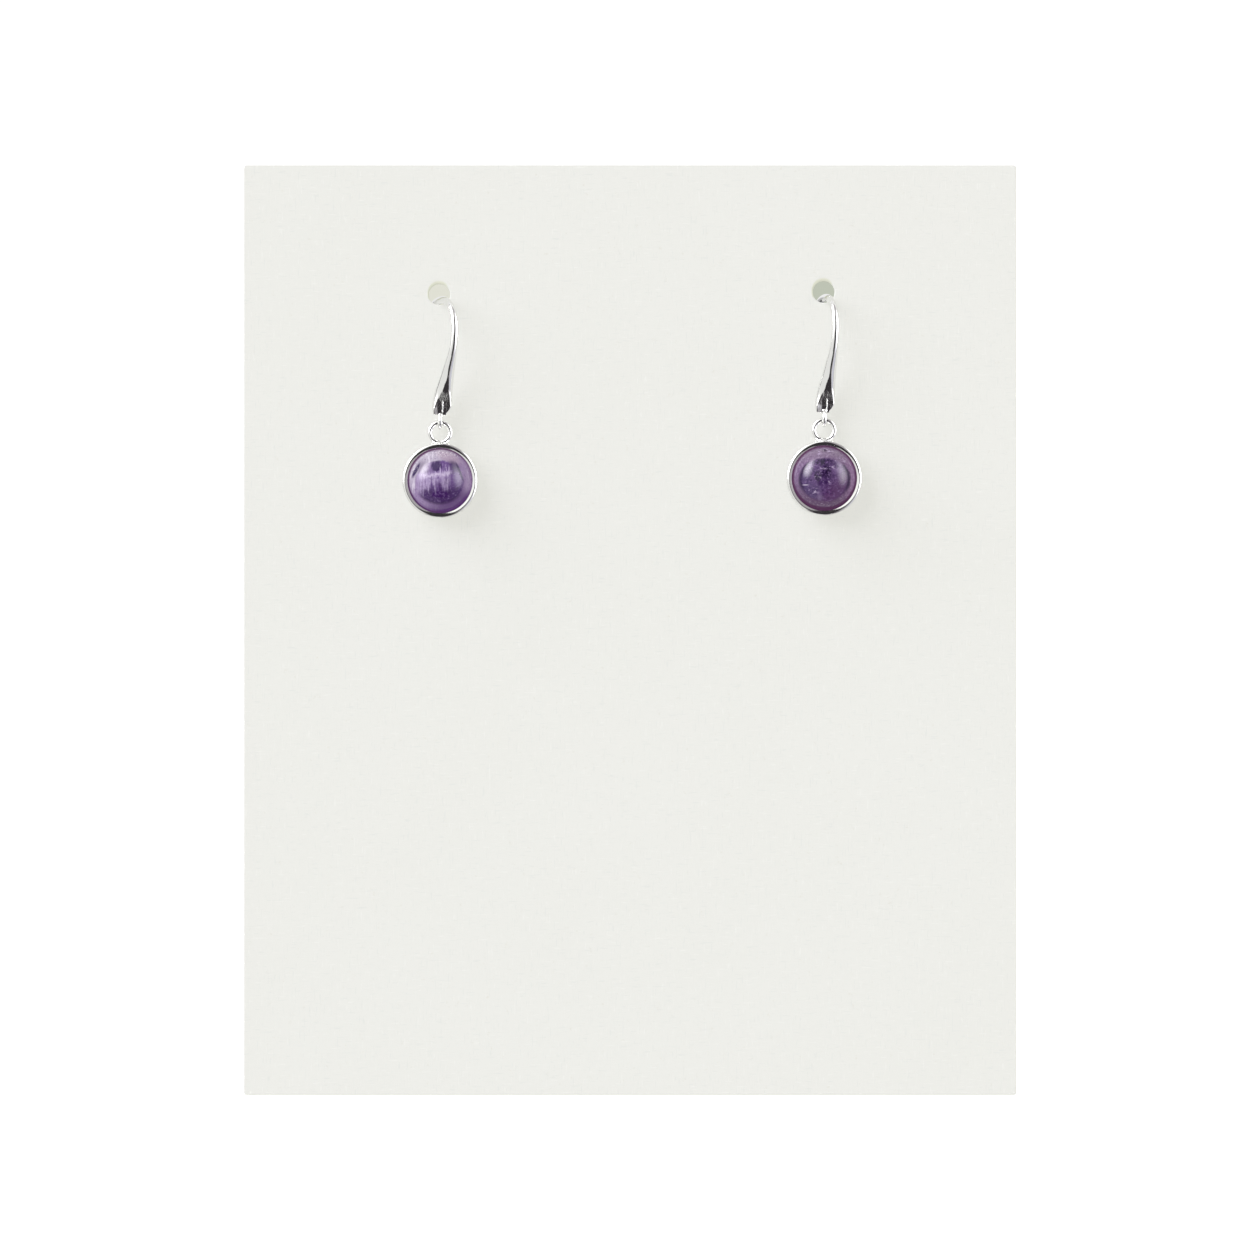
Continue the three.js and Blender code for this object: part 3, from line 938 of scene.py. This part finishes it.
def scaled(section, share):
    """A section made smaller all round."""
    return {**section, **{key: section[key] * share for key in ("width", "front", "back")}}


def ring_at(forward, up, heading, section, yaw):
    """A ring of points round the hook, square to its centreline."""
    ring = []
    for across, out in section_outline(section, yaw):
        y = -(forward - out * math.sin(heading))
        ring.append(Vector((across, y, up + out * math.cos(heading))))
    return ring


def tail_rings(yaw):
    """Rings from the tail's rounded tip to the top of the arch."""
    wire = blade_at(0)
    tip_round = WIRE_DIAMETER / 2
    tail = [(-forward, up, -heading) for forward, up, heading in walk(BACK_PATH)]
    tail.reverse()
    rings = []
    length = 0
    before = tail[0]
    for station in tail:
        length += math.hypot(station[0] - before[0], station[1] - before[1])
        before = station
        section = wire
        if length < tip_round:
            reach = 1 - length / tip_round
            section = scaled(wire, max(math.sqrt(1 - reach**2), TIP_LEAST))
        rings.append(ring_at(*station, section, yaw))
    return rings


def foot_rings(end, yaw):
    """The last rings, which round over the lower edge of the blade's foot."""
    forward, up, heading = end
    foot = blade_at(-up)
    rings = []
    for angle in (20, 40, 60, 80):
        turn = math.radians(angle)
        down = FOOT_ROUND * math.sin(turn)
        section = scaled(foot, 1 - 2 * FOOT_ROUND * (1 - math.cos(turn)) / foot["width"])
        place = (forward + down * math.cos(heading), up + down * math.sin(heading), heading)
        rings.append(ring_at(*place, section, yaw))
    return rings


def hook_rings(yaw):
    """Rings of points along the hook, in its own plane, from the tail's tip to the blade's foot."""
    front = walk(FRONT_PATH)
    blade = [ring_at(*station, blade_at(-station[1]), yaw) for station in front[1:]]
    return tail_rings(yaw) + blade + foot_rings(front[-1], yaw)


def ear_hook(side, hinge, silver):
    """A hook with its eye soldered on. The eye's lowest point is the hinge, and it isn't turned."""
    made = SIDES[side]
    yaw = math.radians(made["turned"])
    turn = Matrix.Rotation(math.radians(made["lean"]), 4, "Y") @ Matrix.Rotation(yaw, 4, "Z")
    eye_centre = Vector((0, -made["eye_forward"], EYE["mean_radius"] - EYE["bottom_depth"]))
    eye_bottom = eye_centre - Vector((0, 0, EYE["mean_radius"]))
    joint = eye_centre + Vector((0, 0, EYE["mean_radius"] + EYE_SOLDER["above_eye"]))
    square = Matrix.Translation(eye_centre) @ Matrix.Rotation(-yaw, 4, "Z")
    square = square @ Matrix.Translation(-eye_centre)
    eye = torus(eye_centre, EYE["mean_radius"], EYE["wire"] / 2, "x")
    solder = bead(joint, EYE_SOLDER["half_size"])
    placed = turn @ Matrix.Translation(-eye_bottom)
    parts = [
        moved(placed, skin(hook_rings(yaw))),
        moved(placed @ square, eye),
        moved(placed @ square, solder),
    ]
    name = f"{side}_hook"
    node = f"{side}_ear_hook"
    piece(name, parts, hinge, silver, "card_and_hooks", node, METAL_SHARP)


# ---------- drops ----------


def setting_profile():
    """The cup: its outer edge is rounded over to a crest, from which the rim slopes in to the stone."""
    radius, depth = BEZEL["radius"], BEZEL["depth"]
    corner, rim = BEZEL["back_corner"], BEZEL["rim_width"] / 2
    lip, slope = BEZEL["lip_round"], BEZEL["rim_slope"]
    inner = radius - BEZEL["wall"]
    crest = radius - rim
    lip_middle = radius - 2 * rim + lip
    fall = (crest - lip_middle) * math.tan(math.radians(slope))
    lip_height = depth - fall - lip / math.cos(math.radians(slope))
    return [
        (AXIS, 0),
        *arc((radius - corner, corner), corner, -90, 0, 8),
        *arc((crest, depth - rim), rim, 0, 90, 20),
        *arc((lip_middle, lip_height), lip, 90 + slope, 180, 8),
        (inner, depth - 2 * rim),
        (inner, BEZEL["floor"]),
        (AXIS, BEZEL["floor"]),
    ]


def stone_profile():
    """The stone: a dome down to its flat base, a small gap away from the cup all round."""
    gap, dome = STONE["gap"], STONE["dome_radius"]
    at_rim = BEZEL["radius"] - BEZEL["rim_width"] - gap
    centre = BEZEL["depth"] - BEZEL["rim_width"] / 2 - math.sqrt(dome**2 - at_rim**2)
    base = BEZEL["floor"] + gap
    start = math.degrees(math.asin((base - centre) / dome))
    return [(AXIS, base), *arc((0, centre), dome, start, DOME_END, DOME_STEPS)]


def drop(side, hinge, silver, stone_finish, slot):
    """A hanging ring soldered to its bezel setting, and the stone in the setting."""
    body = f"{side}_drop"
    ring = torus(Vector((0, 0, -RING_DROP)), RING["mean_radius"], RING["wire"] / 2, "y")
    solder = bead(Vector((0, 0, BEZEL["radius"] - CUP_DROP)), RING_SOLDER_HALF)
    parts = [lathe(setting_profile()), ring, solder]
    name = f"{side}_setting"
    node = f"{side}_bezel_setting"
    piece(name, parts, hinge, silver, body, node, METAL_SHARP)
    # the stone's origin is the middle of its face, which its colours are placed by
    middle = Vector((0, 0, -CUP_DROP))
    stone = moved(Matrix.Translation(-middle), lathe(stone_profile()))
    name = f"{side}_stone"
    node = f"{side}_cabochon"
    piece(name, [stone], hinge + middle * MM, stone_finish, body, node, STONE_SHARP)


# ---------- studio ----------


def studio_directions(graph):
    """The direction that is looked in: its x, y and z, its angles in degrees, and two masks."""
    x, y, z = graph.split(graph.node("ShaderNodeTexCoord").outputs["Generated"])
    azimuth = graph.math("ARCTAN2", x, graph.math("MULTIPLY", y, -1.0))
    return SimpleNamespace(
        x=x,
        z=z,
        azimuth=graph.math("MULTIPLY", azimuth, 180 / math.pi),
        elevation=graph.math("MULTIPLY", graph.math("ARCSINE", z), 180 / math.pi),
        behind=graph.ramp(y, -0.03, 0.03),
        on_left=graph.ramp(x, 0.02, -0.02),
    )


def gap_reach(graph, look):
    """How far the dark gap in front reaches to each side, in x, at each elevation."""
    elevation = look.elevation
    gap = graph.ramp(elevation, 34, 50, 0.16, -0.04)
    gap = graph.math("MULTIPLY_ADD", graph.between(elevation, -27, 0, 3), 0.17, gap)
    gap = graph.math("ADD", gap, graph.ramp(elevation, -24, -30, 0.0, 0.05))
    gap = graph.math("ADD", gap, graph.ramp(elevation, -38, -42, 0.0, 0.18))
    return graph.math("SUBTRACT", gap, graph.ramp(elevation, -54, -66, 0.0, 0.45))


def front_walls(graph, look):
    """Pale walls on both sides of the dark gap, with a dark slit at the far left."""
    low_left, high_left = (0.86, 0.86, 0.84, 1.0), (1.2, 1.2, 1.17, 1.0)
    low_right, high_right = (0.66, 0.66, 0.74, 1.0), (1.1, 1.1, 1.12, 1.0)
    left_wall = graph.mix(graph.ramp(look.z, -0.3, 0.5), low_left, high_left)
    right_wall = graph.mix(graph.ramp(look.z, -0.05, 0.6), low_right, high_right)
    right_wall = graph.over(right_wall, (0.44, 0.42, 0.43, 1.0), graph.ramp(look.x, 0.65, 0.5))
    walls = graph.mix(look.on_left, right_wall, left_wall)
    beyond_gap = graph.math("SUBTRACT", graph.math("ABSOLUTE", look.x), gap_reach(graph, look))
    light = graph.mix(graph.ramp(beyond_gap, -0.03, 0.04), (0.04, 0.036, 0.04, 1.0), walls)
    return graph.over(light, grey(0.1), graph.between(look.azimuth, -90, -85, 1.5), 0.85)


def soft_boxes(graph, look, light):
    """The key light at the upper left and the fill light at the right, laid over the walls."""
    key = graph.spot(look.azimuth, look.elevation, (-65, 30), (14, 21), 0.9)
    key = graph.times(key, graph.ramp(look.azimuth, -86, -78), graph.ramp(look.elevation, -6, 8))
    fill = graph.spot(look.azimuth, look.elevation, (68, 13), (15, 24), 0.9)
    return graph.over(graph.over(light, grey(18.0), key), grey(9.0), fill)


def rear_wall(graph, look):
    """What is behind the card: grey below, pale above, with a dark spot low on the left."""
    rear = graph.mix(graph.ramp(look.z, -0.15, 0.25), grey(0.45), grey(0.95))
    return graph.over(rear, grey(0.02), graph.spot(look.x, look.z, (-0.42, -0.44), (0.17, 0.15), 0.3))


def backdrop(graph, look):
    """What the camera itself sees: white, with a pale grey-green patch of painted shade, for the shaded
    ground behind the card, that only the holes show.
    """
    # painted shade: the shaded ground behind the card, seen through the holes
    through = graph.mix(look.on_left, colour(190, 195, 180), colour(224, 224, 212))
    across = graph.between(look.x, -0.055, 0.055, 0.004)
    upright = graph.between(look.z, -0.05, 0.07, 0.004)
    return graph.over(grey(1.1), through, across, upright, look.behind)


def studio_light():
    """The world: pale walls, a dark gap in front where the camera stands, and two soft boxes.

    Matt surfaces get an even glow instead, as the key lamp shades them.
    """
    world = bpy.data.worlds.new("studio")
    bpy.context.scene.world = world
    graph = Graph(world)
    look = studio_directions(graph)
    path = graph.node("ShaderNodeLightPath").outputs
    rear = rear_wall(graph, look)
    mirrored = graph.mix(look.behind, soft_boxes(graph, look, front_walls(graph, look)), rear)
    glow = graph.mix(look.behind, (0.885, 0.885, 0.845, 1.0), rear)
    light = graph.mix(graph.math("GREATER_THAN", path["Diffuse Depth"], 0.5), mirrored, glow)
    shown = graph.mix(path["Is Camera Ray"], light, backdrop(graph, look))
    background = graph.node("ShaderNodeBackground", {"Color": shown})
    output = graph.node("ShaderNodeOutputWorld")
    graph.tree.links.new(background.outputs[0], output.inputs[0])
    world.cycles.sampling_method = "NONE"


def key_lamp():
    """The soft key light for matt surfaces, from the upper left. Polished ones see the studio's."""
    lamp = bpy.data.lights.new("key", "SUN")
    lamp.energy = 1.3
    lamp.color = (1.0, 1.0, 1.1)
    lamp.angle = math.radians(KEY_SPREAD)
    made = bpy.data.objects.new("key", lamp)
    made.rotation_euler = Vector(KEY_FROM).to_track_quat("Z", "Y").to_euler()
    made.visible_glossy = False
    bpy.context.scene.collection.objects.link(made)


def floor():
    """A plain pale floor at the card's foot, seen by the camera and shaded by the card."""
    corners = [(x * FLOOR_HALF, y * FLOOR_HALF, 0) for x, y in ((-1, -1), (1, -1), (1, 1), (-1, 1))]
    mesh = bpy.data.meshes.new("floor")
    mesh.from_pydata(corners, [], [(0, 1, 2, 3)])
    material = bpy.data.materials.new("pale_floor")
    Graph(material).surface({
        "Base Color": grey(0.25),
        "Roughness": 0.9,
        "Specular IOR Level": 0.0,
        "Emission Color": grey(1.0),
        "Emission Strength": 0.85,
    })
    mesh.materials.append(material)
    made = bpy.data.objects.new("floor", mesh)
    bpy.context.scene.collection.objects.link(made)
    made.visible_diffuse = False
    made.visible_glossy = False
    made.visible_shadow = False


def camera():
    """Square on to the card, level with its middle."""
    lens = bpy.data.cameras.new("camera")
    made = bpy.data.objects.new("camera", lens)
    bpy.context.scene.collection.objects.link(made)
    bpy.context.scene.camera = made
    low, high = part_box("display_card")
    view_width = (high.x - low.x) * VIEW_WIDTH
    lens.sensor_width = 36
    lens.lens = lens.sensor_width * CAMERA_DISTANCE / view_width
    made.location = (0, low.y - CAMERA_DISTANCE, high.z / 2)
    made.rotation_euler = (math.radians(90), 0, 0)


display_card()
hook_silver = polished_silver("filed_silver", roughness=0.03, carve=foot_relief)
setting_silver = polished_silver("bezel_silver", roughness=0.06)
stones = {
    "left": (amethyst("pale_amethyst", pale_tone), "pale_amethyst"),
    "right": (amethyst("deep_amethyst", deep_tone), "deep_amethyst"),
}
for joint in frame["joints"]:
    side = joint["name"].split("_")[0]
    hinge = Vector(joint["pos_m"])
    ear_hook(side, hinge, hook_silver)
    drop(side, hinge, setting_silver, *stones[side])

studio_light()
key_lamp()
floor()
camera()
bpy.context.scene.view_settings.view_transform = "Standard"
